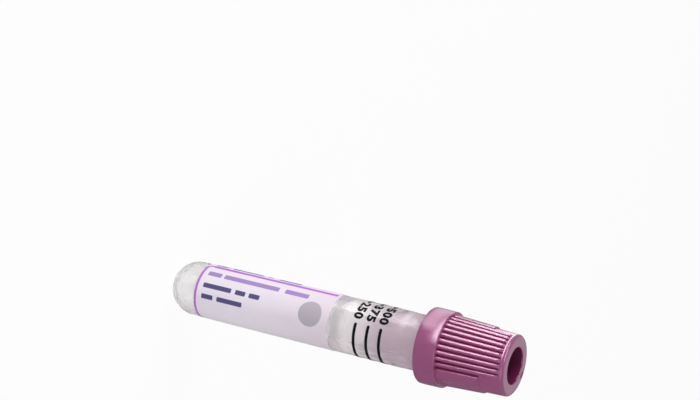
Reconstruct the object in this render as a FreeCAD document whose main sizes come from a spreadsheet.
import FreeCAD, Part
import os
import Sketcher

# Micro blood collection tube: a false-bottom tube with a scoop collector in its mouth,
# a wrap label, and a fluted pull-off cap that carries a soft stopper.
# Frame: millimetres, tube axis on Z, open end ring on z = 0, cap upwards.
# Azimuth 0 is +X and grows towards +Y.

doc = FreeCAD.newDocument("blood_collection_tube")
sheet = doc.addObject("Spreadsheet::Sheet", "sizes")

SIZES = [
    # tube, outside
    ("tube_height", 69.0),
    ("body_radius", 6.25),
    ("end_ring_radius", 3.4),
    ("end_hole_radius", 3.0),
    ("neck_radius", 6.17),
    ("neck_bottom_drop", 7.9),
    ("rim_radius", 6.67),
    ("rim_foot_radius", 6.6),
    ("rim_foot_drop", 4.3),
    ("rim_taper_drop", 5.4),
    ("rim_chamfer", 0.3),
    # tube, inside
    ("skirt_wall", 1.05),
    ("floor_thickness", 1.3),
    ("ceiling_chamfer", 1.6),
    ("web_width", 1.1),
    ("web_depth", 1.1),
    ("web_foot_height", 2.2),
    ("web_count", 4),
    ("reservoir_radius", 3.55),
    ("reservoir_bottom", 42.5),
    ("funnel_bottom_drop", 8.6),
    ("funnel_radius", 4.35),
    ("mouth_depth", 4.4),
    # collector
    ("collector_radius", 5.1),
    ("collector_lip_radius", 4.9),
    ("collector_wall", 0.75),
    ("collector_step_height", 3.5),
    ("collector_step_chamfer", 0.15),
    ("scoop_high_height", 9.8),
    ("scoop_rise", 3.65),
    ("scoop_straight", 0.15),
    ("scoop_shift", 0.65),
    ("scoop_azimuth", -43.0),
    # label
    ("label_bottom", 8.0),
    ("label_top", 43.2),
    ("label_thickness", 0.1),
    ("label_wrap", 328.0),
    ("label_start", 172.5),
    # cap
    ("cap_gap", 0.1),
    ("cap_skirt_drop", 3.6),
    ("cap_skirt_height", 5.0),
    ("cap_skirt_wall", 1.51),
    ("cap_skirt_draft", 0.08),
    ("cap_skirt_clearance", 0.2),
    ("cap_bore_clearance", 0.3),
    ("cap_wall_low", 1.85),
    ("cap_wall_high", 1.22),
    ("cap_edge_round", 0.8),
    ("cap_ledge_chamfer", 0.25),
    ("cap_lip_chamfer", 0.25),
    ("cap_hole_radius", 3.98),
    ("cap_hole_depth", 4.8),
    ("cap_hole_chamfer", 0.2),
    ("cap_top_band", 1.1),
    ("gate_pit_spot", 5.35),
    ("gate_pit_reach", 0.8),
    ("gate_pit_width", 1.3),
    ("gate_pit_depth", 0.5),
    # cap flutes
    ("flute_depth", 0.5),
    ("rib_count", 10),
    ("rib_pitch", 10.15),
    ("rib_width", 0.96),
    ("rib_crest_drop", 0.28),
    ("rib_height_low", 0.47),
    ("rib_height_high", 0.28),
    ("rib_root", 0.5),
    ("wing_groove_start", 49.0),
    ("wing_start", 53.0),
    ("wing_flat_end", 72.0),
    ("wing_end", 87.0),
    ("wing_height", 9.6),
    ("zone_azimuth", -107.0),
    # stopper
    ("plug_clearance", 0.1),
    ("plug_bottom_lift", 1.6),
    ("plug_chamfer", 0.5),
    ("flange_clearance", 0.3),
    ("flange_thickness", 1.5),
    ("plug_recess_radius", 2.2),
    ("plug_recess_depth", 4.5),
    ("septum_dish", 0.35),
]
for row, (name, value) in enumerate(SIZES, start=1):
    sheet.set("A%d" % row, name)
    sheet.set("B%d" % row, str(value))
    sheet.setAlias("B%d" % row, name)
doc.recompute()


def bind(text):
    """Put the sheet's name before each alias in an expression."""
    out, word = "", ""
    for letter in text + " ":
        if letter.isalnum() or letter == "_":
            word += letter
        else:
            out += ("sizes." + word if word in ALIASES else word) + letter
            word = ""
    return out.strip()


ALIASES = {name for name, _ in SIZES}

# Lengths that follow from the sheet, written as expressions
END_CENTRE = "sqrt(body_radius^2 - end_ring_radius^2)"
HOLLOW_RADIUS = "(body_radius - skirt_wall)"
CEILING = "(reservoir_bottom - floor_thickness)"
CAP_FOOT = "(tube_height - cap_skirt_drop)"
CAP_LEDGE = "(tube_height - cap_skirt_drop + cap_skirt_height)"
SCOOP_TOP = "(tube_height + scoop_high_height)"
SCOOP_LOW = "(tube_height + scoop_high_height - scoop_rise)"
SCOOP_ROUND = "((scoop_rise - scoop_straight) / 2)"
FLANGE_LOW = "(tube_height + scoop_high_height + flange_clearance)"
CAP_SEAT = "(tube_height + scoop_high_height + flange_clearance + flange_thickness)"
CAP_TOP = "(" + CAP_SEAT + " + cap_hole_depth)"
CAP_BAND = "(" + CAP_TOP + " - cap_top_band)"
CAP_BORE = "(collector_radius + cap_bore_clearance)"
SKIRT_BORE = "(rim_radius + cap_skirt_clearance)"
SKIRT_RADIUS = "(rim_radius + cap_skirt_clearance + cap_skirt_wall)"
SHOULDER = "(rim_radius + cap_skirt_clearance + cap_skirt_wall - cap_skirt_draft)"
BODY_LOW = "(collector_radius + cap_bore_clearance + cap_wall_low)"
BODY_HIGH = "(collector_radius + cap_bore_clearance + cap_wall_high)"
CREST_LOW = "(" + BODY_LOW + " + rib_height_low)"
CREST_HIGH = "(" + BODY_HIGH + " + rib_height_high)"
CAP_SLOPE = "((cap_wall_low - cap_wall_high) / (" + CAP_TOP + " - " + CAP_LEDGE + "))"
COLLECTOR_BORE = "(collector_lip_radius - collector_wall)"
RIB_SPAN = "((rib_count - 1) * rib_pitch)"
# a quarter round drawn as two flats meets its arc again at 45 degrees, this share in from its corner
ROUND_INSET = "(1 - cos(45))"


def plane(body, role):
    for feature in body.Origin.OriginFeatures:
        if feature.Role == role:
            return feature
    raise ValueError(role)


def new_body(label):
    body = doc.addObject("PartDesign::Body", label)
    body.Label = label
    return body


def sketch_on(body, name, role, lift=None, turn=None):
    """A sketch on an origin plane, raised by lift and turned about its normal."""
    sketch = body.newObject("Sketcher::SketchObject", name)
    sketch.AttachmentSupport = [(plane(body, role), "")]
    sketch.MapMode = "FlatFace"
    sketch.AttachmentOffset = FreeCAD.Placement(
        FreeCAD.Vector(0, 0, 0), FreeCAD.Rotation(FreeCAD.Vector(0, 0, 1), 1.0 if turn else 0.0))
    if lift:
        sketch.setExpression("AttachmentOffset.Base.z", bind(lift))
    if turn:
        sketch.setExpression("AttachmentOffset.Rotation.Angle", bind(turn))
    return sketch


def value_of(text):
    """The number an expression has now, for the first position of a point."""
    return float(sheet.evalExpression(bind(text)))


def outline(sketch, points, arcs=()):
    """A closed outline through points given as pairs of expressions.

    The edge that leaves point i is an arc about the sketch's vertical axis when i is in arcs,
    mapped to True for a counter-clockwise sweep.
    """
    spots = [FreeCAD.Vector(value_of(x), value_of(y), 0) for x, y in points]
    count = len(spots)
    edges = []
    for i in range(count):
        a, b = spots[i], spots[(i + 1) % count]
        if i in arcs:
            # centre on the vertical axis, at the same distance from both ends
            height = (b.x ** 2 + b.y ** 2 - a.x ** 2 - a.y ** 2) / (2.0 * (b.y - a.y))
            centre = FreeCAD.Vector(0, height, 0)
            first, last = (a, b) if arcs[i] else (b, a)
            axis = FreeCAD.Vector(1, 0, 0)
            start = (first - centre)
            stop = (last - centre)
            angles = [FreeCAD.Vector(0, 0, 1).dot(axis.cross(v)) for v in (start, stop)]
            start_angle = axis.getAngle(start) * (1 if angles[0] >= 0 else -1)
            stop_angle = axis.getAngle(stop) * (1 if angles[1] >= 0 else -1)
            circle = Part.Circle(centre, FreeCAD.Vector(0, 0, 1), start.Length)
            edges.append(sketch.addGeometry(Part.ArcOfCircle(circle, start_angle, stop_angle), False))
        else:
            edges.append(sketch.addGeometry(Part.LineSegment(a, b), False))

    def end_of(i):
        return 1 if (i in arcs and not arcs[i]) else 2

    def start_of(i):
        return 2 if (i in arcs and not arcs[i]) else 1

    for i in range(count):
        j = (i + 1) % count
        sketch.addConstraint(
            Sketcher.Constraint("Coincident", edges[i], end_of(i), edges[j], start_of(j)))
    for i in arcs:
        sketch.addConstraint(Sketcher.Constraint("PointOnObject", edges[i], 3, -2))
    for i, (x, y) in enumerate(points):
        for kind, axis_id, text, value in (("DistanceX", -2, x, spots[i].x),
                                           ("DistanceY", -1, y, spots[i].y)):
            if text == "0":
                sketch.addConstraint(
                    Sketcher.Constraint("PointOnObject", edges[i], start_of(i), axis_id))
            else:
                at = sketch.addConstraint(
                    Sketcher.Constraint(kind, -1, 1, edges[i], start_of(i), value))
                sketch.setExpression("Constraints[%d]" % at, bind(text))
    return sketch


def revolve(body, name, sketch, angle="360", start=None):
    feature = body.newObject("PartDesign::Revolution", name)
    feature.Profile = sketch
    feature.ReferenceAxis = (sketch, ["V_Axis"])
    feature.Angle = value_of(angle)
    if angle != "360":
        feature.setExpression("Angle", bind(angle))
    sketch.Visibility = False
    body.Tip = feature
    return feature


def polar(body, name, source, sketch, count, step):
    """Copies of a feature about the body's vertical axis, step degrees apart."""
    feature = body.newObject("PartDesign::PolarPattern", name)
    feature.Originals = [source] if not isinstance(source, list) else source
    feature.Axis = (sketch, ["N_Axis"])
    feature.Mode = "Spacing"
    feature.setExpression("Occurrences", bind(count))
    feature.setExpression("Offset", bind(step))
    body.Tip = feature
    return feature


def straight_edges(shape, spots):
    """Names of the straight edges that pass through one of the points in the (x, z) plane."""
    names = []
    for text_x, text_z in spots:
        across, height = value_of(text_x), value_of(text_z)
        for i, edge in enumerate(shape.Edges, start=1):
            if edge.Degenerated or not isinstance(edge.Curve, Part.Line):
                continue
            if all(abs(v.X - across) < 1e-3 and abs(v.Z - height) < 1e-3 for v in edge.Vertexes):
                names.append("Edge%d" % i)
    return names


def fillet(body, name, base, size, names):
    """Round the named edges of a feature with a radius from the sheet."""
    if not names:
        raise ValueError("no edge for " + name)
    feature = body.newObject("PartDesign::Fillet", name)
    feature.Base = (base, names)
    feature.setExpression("Radius", bind(size))
    body.Tip = feature
    doc.recompute()
    return feature


# ---------------------------------------------------------------- tube
tube = new_body("tube")
wall_profile = outline(
    sketch_on(tube, "tube_profile", "XZ_Plane"),
    [
        ("end_hole_radius", "0"),
        ("end_ring_radius", "0"),
        ("body_radius", END_CENTRE),
        ("body_radius", "tube_height - neck_bottom_drop"),
        ("neck_radius", "tube_height - neck_bottom_drop + 0.25"),
        ("neck_radius", "tube_height - rim_taper_drop"),
        ("rim_foot_radius", "tube_height - rim_foot_drop"),
        ("rim_radius", "tube_height - rim_chamfer"),
        ("rim_radius - rim_chamfer", "tube_height"),
        ("collector_radius", "tube_height"),
        ("collector_radius", "tube_height - mouth_depth"),
        ("funnel_radius", "tube_height - mouth_depth"),
        ("reservoir_radius", "tube_height - funnel_bottom_drop"),
        ("reservoir_radius", "reservoir_bottom + reservoir_radius"),
        ("0", "reservoir_bottom"),
        ("0", CEILING),
        (HOLLOW_RADIUS + " - ceiling_chamfer", CEILING),
        (HOLLOW_RADIUS, CEILING + " - ceiling_chamfer"),
        (HOLLOW_RADIUS, END_CENTRE),
        ("end_hole_radius",
         END_CENTRE + " - sqrt(" + HOLLOW_RADIUS + "^2 - end_hole_radius^2)"),
    ],
    arcs={1: True, 13: False, 18: False},
)
tube_wall = revolve(tube, "tube_wall", wall_profile)
doc.recompute()
# lengthwise webs inside the hollow skirt, from the rounded end to the false bottom
web_sketch = outline(
    sketch_on(tube, "web_profile", "XZ_Plane"),
    [
        (HOLLOW_RADIUS + " - web_depth", "web_foot_height"),
        ("sqrt(" + HOLLOW_RADIUS + "^2 - (" + END_CENTRE + " - web_foot_height)^2) + skirt_wall / 2",
         "web_foot_height"),
        (HOLLOW_RADIUS + " + skirt_wall / 2", END_CENTRE),
        (HOLLOW_RADIUS + " + skirt_wall / 2", CEILING + " + 0.3"),
        (HOLLOW_RADIUS + " - web_depth", CEILING + " + 0.3"),
    ],
)
web = tube.newObject("PartDesign::Pad", "web")
web.Profile = web_sketch
web.Midplane = True
web.setExpression("Length", bind("web_width"))
tube.Tip = web
doc.recompute()
turn_sketch = sketch_on(tube, "turn_axis", "XY_Plane")
webs = polar(tube, "webs", web, turn_sketch, "web_count", "360 / web_count")

# ---------------------------------------------------------------- collector
collector = new_body("collector")
collector_profile = outline(
    sketch_on(collector, "collector_profile", "XZ_Plane"),
    [
        (COLLECTOR_BORE, "tube_height - mouth_depth"),
        ("collector_radius", "tube_height - mouth_depth"),
        ("collector_radius", "tube_height + collector_step_height - collector_step_chamfer"),
        ("collector_radius - collector_step_chamfer", "tube_height + collector_step_height"),
        ("collector_lip_radius", "tube_height + collector_step_height"),
        ("collector_lip_radius", SCOOP_TOP),
        (COLLECTOR_BORE, SCOOP_TOP),
    ],
)
collector_wall = revolve(collector, "collector_wall", collector_profile)
doc.recompute()
# the scoop: the lip's low half is cut away sideways
scoop_sketch = outline(
    sketch_on(collector, "scoop_profile", "XZ_Plane"),
    [
        ("scoop_shift", SCOOP_LOW),
        ("scoop_shift", SCOOP_TOP + " + 1"),
        ("0 - collector_radius - 1", SCOOP_TOP + " + 1"),
        ("0 - collector_radius - 1", SCOOP_LOW),
    ],
)
scoop = collector.newObject("PartDesign::Pocket", "scoop")
scoop.Profile = scoop_sketch
scoop.Midplane = True
scoop.setExpression("Length", bind("collector_radius * 2 + 2"))
collector.Tip = scoop
doc.recompute()
scoop_curve = fillet(collector, "scoop_curve", scoop, SCOOP_ROUND, straight_edges(
    scoop.Shape,
    [("scoop_shift", SCOOP_LOW), ("scoop_shift", SCOOP_TOP)]))
collector.Placement = FreeCAD.Placement(
    FreeCAD.Vector(0, 0, 0), FreeCAD.Rotation(FreeCAD.Vector(0, 0, 1), 1.0))
collector.setExpression("Placement.Rotation.Angle", bind("scoop_azimuth"))

# ---------------------------------------------------------------- label
label = new_body("label")
label_profile = outline(
    sketch_on(label, "label_profile", "XZ_Plane"),
    [
        ("body_radius", "label_bottom"),
        ("body_radius + label_thickness", "label_bottom"),
        ("body_radius + label_thickness", "label_top"),
        ("body_radius", "label_top"),
    ],
)
label_film = revolve(label, "label_film", label_profile, angle="label_wrap")
label.Placement = FreeCAD.Placement(
    FreeCAD.Vector(0, 0, 0), FreeCAD.Rotation(FreeCAD.Vector(0, 0, 1), 1.0))
label.setExpression("Placement.Rotation.Angle", bind("label_start"))

# ---------------------------------------------------------------- cap
cap = new_body("cap")
cap_profile = outline(
    sketch_on(cap, "cap_profile", "XZ_Plane"),
    [
        (SKIRT_BORE, CAP_FOOT),
        (SKIRT_RADIUS + " - cap_lip_chamfer", CAP_FOOT),
        (SKIRT_RADIUS, CAP_FOOT + " + cap_lip_chamfer"),
        (SHOULDER, CAP_LEDGE + " - cap_ledge_chamfer"),
        (SHOULDER + " - cap_ledge_chamfer", CAP_LEDGE),
        (BODY_LOW + " - flute_depth", CAP_LEDGE),
        (BODY_HIGH + " - flute_depth + cap_top_band * " + CAP_SLOPE, CAP_BAND),
        (BODY_HIGH + " + cap_top_band * " + CAP_SLOPE, CAP_BAND),
        (BODY_HIGH + " + cap_edge_round * " + CAP_SLOPE, CAP_TOP + " - cap_edge_round"),
        (BODY_HIGH + " - cap_edge_round * " + ROUND_INSET, CAP_TOP + " - cap_edge_round * " + ROUND_INSET),
        (BODY_HIGH + " - cap_edge_round", CAP_TOP),
        ("cap_hole_radius + cap_hole_chamfer", CAP_TOP),
        ("cap_hole_radius", CAP_TOP + " - cap_hole_chamfer"),
        ("cap_hole_radius", CAP_SEAT),
        (CAP_BORE, CAP_SEAT),
        (CAP_BORE, "tube_height + cap_gap"),
        (SKIRT_BORE, "tube_height + cap_gap"),
    ],
)
cap_core = revolve(cap, "cap_core", cap_profile)
doc.recompute()
cap_turn = sketch_on(cap, "cap_axis", "XY_Plane")

# Flutes. In the cap's own frame one fluted zone is centred on +X and the other on -X.
# Each section is drawn at the ledge and again, drawn in, at the top band, and lofted.
ROOT = "(" + CAP_BORE + " + rib_root)"
WING_TOP = "(tube_height - cap_skirt_drop + cap_skirt_height + wing_height)"
CREST_SLOPE = "((" + CREST_LOW + " - " + CREST_HIGH + ") / (" + CAP_BAND + " - " + CAP_LEDGE + "))"


def lofted(name, sections):
    """A solid through closed outlines, each given as (height, turn, points)."""
    sketches = []
    for index, (lift, turn, points) in enumerate(sections):
        sketches.append(outline(
            sketch_on(cap, "%s_section_%d" % (name, index), "XY_Plane", lift=lift, turn=turn),
            points))
    doc.recompute()
    feature = cap.newObject("PartDesign::AdditiveLoft", name)
    feature.Profile = sketches[0]
    feature.Sections = sketches[1:]
    feature.Ruled = True
    for sketch in sketches:
        sketch.Visibility = False
    cap.Tip = feature
    return feature


def at_angle(radius, angle):
    return ("(%s) * cos(%s)" % (radius, angle), "(%s) * sin(%s)" % (radius, angle))


def transformed(name, originals, steps):
    """Copies of features by a chain of steps: ("mirror", plane role) or ("polar", count, step)."""
    chain = []
    for index, (kind, *rest) in enumerate(steps):
        if kind == "mirror":
            step = cap.newObject("PartDesign::Mirrored", "%s_mirror_%d" % (name, index))
            step.MirrorPlane = (plane(cap, rest[0]), [""])
        else:
            step = cap.newObject("PartDesign::PolarPattern", "%s_turn_%d" % (name, index))
            step.Axis = (cap_turn, ["N_Axis"])
            step.Mode = "Spacing"
            step.setExpression("Occurrences", bind(rest[0]))
            step.setExpression("Offset", bind(rest[1]))
        chain.append(step)
    feature = cap.newObject("PartDesign::MultiTransform", name)
    feature.Originals = originals
    feature.Transformations = chain
    cap.Tip = feature
    return feature


def skin_sector(name, low, high, start):
    """A sector of the body's cone over the flutes' floor, centred on +Y, and its opposite."""
    profile = outline(
        sketch_on(cap, name + "_profile", "YZ_Plane"),
        [
            (ROOT, low),
            (BODY_HIGH + " + (" + CAP_TOP + " - " + low + ") * " + CAP_SLOPE, low),
            (BODY_HIGH + " + (" + CAP_TOP + " - " + high + ") * " + CAP_SLOPE, high),
            (ROOT, high),
        ],
    )
    sector = revolve(cap, name, profile, angle="180 - 2 * " + start)
    sector.Midplane = True
    doc.recompute()
    return transformed(name + "_pair", [sector], [("polar", "2", "180")])


skin_sector("side_skin", CAP_LEDGE, CAP_BAND, "wing_start")
skin_sector("groove_stop", WING_TOP, CAP_BAND, "wing_groove_start")


# wings: a raised strip along each side of each zone, square-ended above the ledge
def wing_points(crest, side):
    return [
        at_angle(ROOT, "wing_start"),
        at_angle(crest, "wing_start"),
        at_angle(crest, "wing_flat_end"),
        at_angle(side + " - 0.03", "wing_end"),
        at_angle(ROOT, "wing_end"),
    ]


wing = lofted("wing", [
    (CAP_LEDGE + " - 0.2", None, wing_points(CREST_LOW, BODY_LOW)),
    (WING_TOP, None, wing_points(CREST_LOW + " - wing_height * " + CREST_SLOPE,
                                 BODY_LOW + " - wing_height * " + CAP_SLOPE)),
])
doc.recompute()
wings = transformed("wings", [wing], [("mirror", "XZ_Plane"), ("polar", "2", "180")])
doc.recompute()


# ribs: round-crested, the first at one end of a zone
def rib_points(crest):
    return [
        ("0 - rib_width / 2", ROOT),
        ("rib_width / 2", ROOT),
        ("rib_width / 2", crest + " - rib_crest_drop"),
        ("0", crest),
        ("0 - rib_width / 2", crest + " - rib_crest_drop"),
    ]


rib = lofted("rib", [
    (CAP_LEDGE + " - 0.2", "0 - 90 - " + RIB_SPAN + " / 2", rib_points(CREST_LOW)),
    (CAP_BAND + " - 0.3", "0 - 90 - " + RIB_SPAN + " / 2", rib_points(CREST_HIGH)),
    (CAP_BAND + " + 0.2", "0 - 90 - " + RIB_SPAN + " / 2",
     rib_points("(" + BODY_HIGH + " - 0.05)")),
])
doc.recompute()
ribs = transformed("ribs", [rib], [("polar", "rib_count", "rib_pitch"), ("polar", "2", "180")])
doc.recompute()

# the mould's gate leaves one shallow pit in the top, in line with the second fluted zone
gate_sketch = outline(
    sketch_on(cap, "gate_profile", "XY_Plane", lift=CAP_TOP),
    [
        ("0 - gate_pit_spot - gate_pit_reach / 2", "0 - gate_pit_width / 2"),
        ("0 - gate_pit_spot + gate_pit_reach / 2", "0 - gate_pit_width / 2"),
        ("0 - gate_pit_spot + gate_pit_reach / 2", "gate_pit_width / 2"),
        ("0 - gate_pit_spot - gate_pit_reach / 2", "gate_pit_width / 2"),
    ],
)
gate_pit = cap.newObject("PartDesign::Pocket", "gate_pit")
gate_pit.Profile = gate_sketch
gate_pit.setExpression("Length", bind("gate_pit_depth"))
cap.Tip = gate_pit
doc.recompute()
cap.Placement = FreeCAD.Placement(
    FreeCAD.Vector(0, 0, 0), FreeCAD.Rotation(FreeCAD.Vector(0, 0, 1), 1.0))
cap.setExpression("Placement.Rotation.Angle", bind("zone_azimuth"))

# ---------------------------------------------------------------- stopper
stopper = new_body("stopper")
PLUG_RADIUS = "(" + COLLECTOR_BORE + " - plug_clearance)"
stopper_profile = outline(
    sketch_on(stopper, "stopper_profile", "XZ_Plane"),
    [
        ("0", "tube_height + plug_bottom_lift + plug_recess_depth"),
        ("plug_recess_radius", "tube_height + plug_bottom_lift + plug_recess_depth"),
        ("plug_recess_radius", "tube_height + plug_bottom_lift"),
        (PLUG_RADIUS + " - plug_chamfer", "tube_height + plug_bottom_lift"),
        (PLUG_RADIUS, "tube_height + plug_bottom_lift + plug_chamfer"),
        (PLUG_RADIUS, FLANGE_LOW),
        (CAP_BORE, FLANGE_LOW),
        (CAP_BORE, CAP_SEAT),
        ("cap_hole_radius", CAP_SEAT),
        ("0", CAP_SEAT + " - septum_dish"),
    ],
    arcs={8: False},
)
stopper_core = revolve(stopper, "stopper_core", stopper_profile)

# ---------------------------------------------------------------- check and write
doc.recompute()
for item in doc.Objects:
    if "Invalid" in item.State or "Error" in item.State:
        raise RuntimeError("%s: %s" % (item.Name, item.State))

os.makedirs("parts", exist_ok=True)
for part in (tube, collector, label, cap, stopper):
    shape = part.Shape
    if shape.isNull() or not shape.isValid() or len(shape.Solids) != 1:
        raise RuntimeError(part.Label + ": bad shape")
    shape.exportStep("parts/%s.step" % part.Label)
    print(part.Label, round(shape.Volume, 3), len(shape.Faces))
